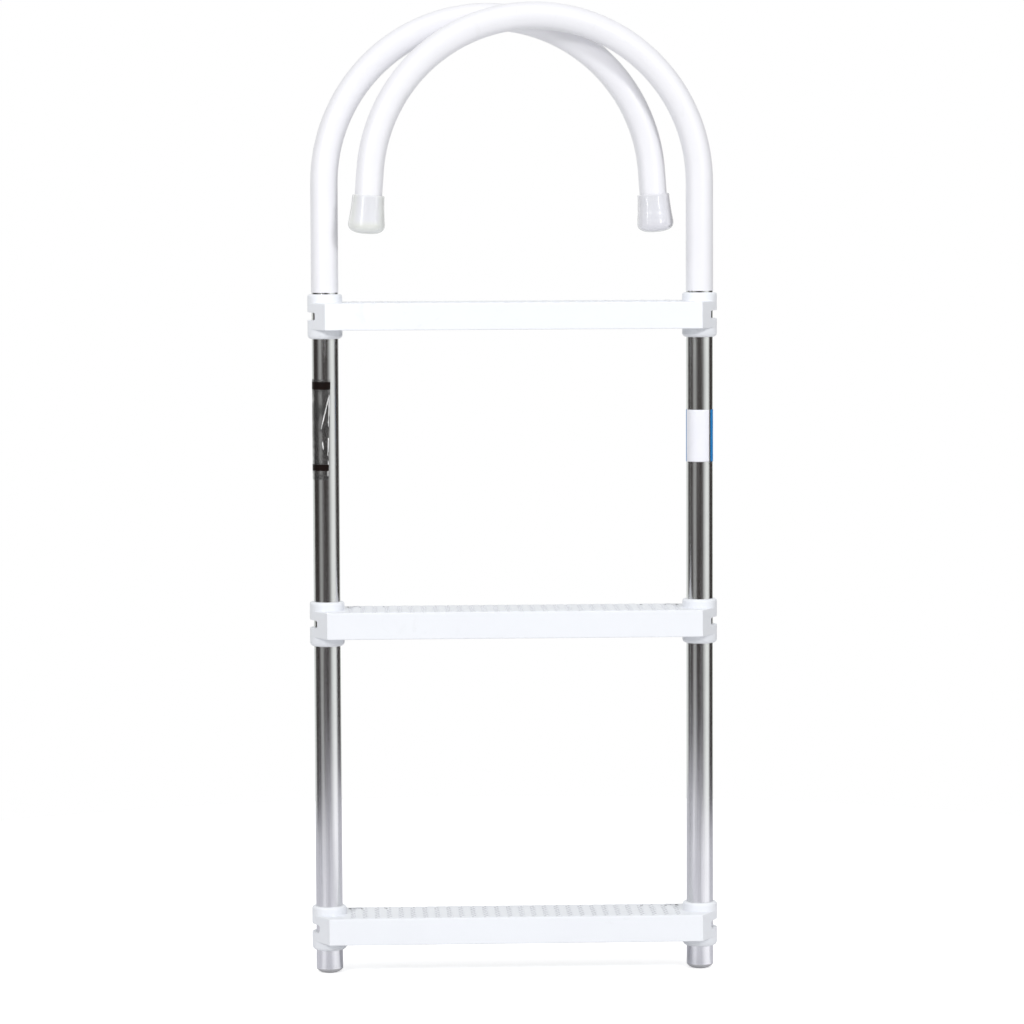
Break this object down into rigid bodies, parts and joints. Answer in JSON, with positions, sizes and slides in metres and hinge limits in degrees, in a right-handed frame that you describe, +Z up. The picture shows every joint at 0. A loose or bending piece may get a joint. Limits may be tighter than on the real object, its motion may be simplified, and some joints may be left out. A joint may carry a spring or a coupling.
{
  "type": "folding-hook boarding ladder",
  "caption": "Portable gunwale boarding ladder: moulded steps on two aluminium tubes whose sleeved hooks fold flat across it.",
  "frame": {"origin": "midway between the two tubes, level with the underside of the hooks, where they sit on the gunwale", "axes": "+Z up; +X across the ladder, to the right seen from the front; +Y to the rear, the boat side that the hooks point to in use"},
  "size_m": [0.3886, 0.09, 0.9226],
  "materials": {
    "step_plastic": "white moulded plastic, satin",
    "tube_aluminium": "bright anodised",
    "sleeve_vinyl": "white vinyl, soft gloss",
    "cap_vinyl": "milky translucent vinyl",
    "plug_plastic": "grey plastic"
  },
  "bodies": {
    "steps": {"top_step": "step_plastic", "middle_step": "step_plastic", "bottom_step": "step_plastic"},
    "left_rail": {"left_tube": "tube_aluminium", "left_hook_sleeve": "sleeve_vinyl", "left_hook_cap": "cap_vinyl", "left_foot_plug": "plug_plastic"},
    "right_rail": {"right_tube": "tube_aluminium", "right_hook_sleeve": "sleeve_vinyl", "right_hook_cap": "cap_vinyl", "right_foot_plug": "plug_plastic"}
  },
  "joints": [
    {"name": "left_hook_turn", "type": "hinge", "parent": "steps", "child": "left_rail", "pos_m": [-0.1778, 0, -0.575], "axis": [0, 0, 1], "range_deg": [0, 85]},
    {"name": "right_hook_turn", "type": "hinge", "parent": "steps", "child": "right_rail", "pos_m": [0.1778, 0, -0.575], "axis": [0, 0, 1], "range_deg": [0, 265]}
  ]
}
